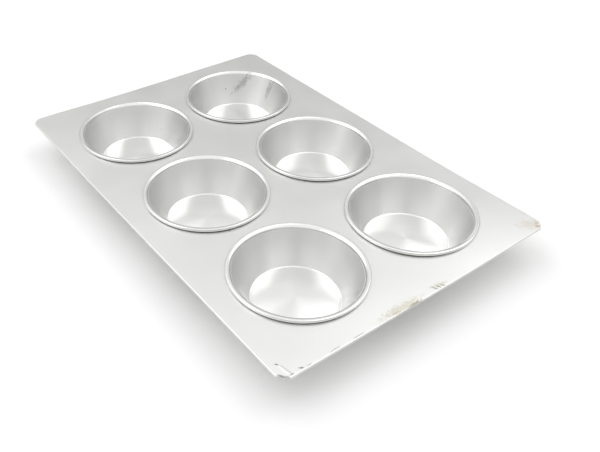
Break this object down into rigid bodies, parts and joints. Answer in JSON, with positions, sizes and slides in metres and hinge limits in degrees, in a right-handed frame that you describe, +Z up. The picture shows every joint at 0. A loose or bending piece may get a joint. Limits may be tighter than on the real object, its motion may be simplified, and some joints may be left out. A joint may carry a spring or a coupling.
{
  "type": "muffin pan",
  "caption": "Flat rectangular muffin pan: shallow tapered round cups with rolled rims set in a hemmed sheet-metal deck with clipped corners.",
  "frame": {"origin": "centre of the deck in plan, on the plane of the cups' undersides", "axes": "+X along the longer edge, towards the end nearest the camera; +Y across the pan; +Z up out of the cups"},
  "size_m": [0.357, 0.247, 0.0289],
  "materials": {
    "deck_metal": "pale silver satin, as pressed",
    "cup_metal": "pale silver satin, as pressed"
  },
  "bodies": {
    "root": {"deck_sheet": "deck_metal", "cup_back_left": "cup_metal", "cup_back_right": "cup_metal", "cup_middle_left": "cup_metal", "cup_middle_right": "cup_metal", "cup_front_left": "cup_metal", "cup_front_right": "cup_metal"}
  },
  "joints": []
}
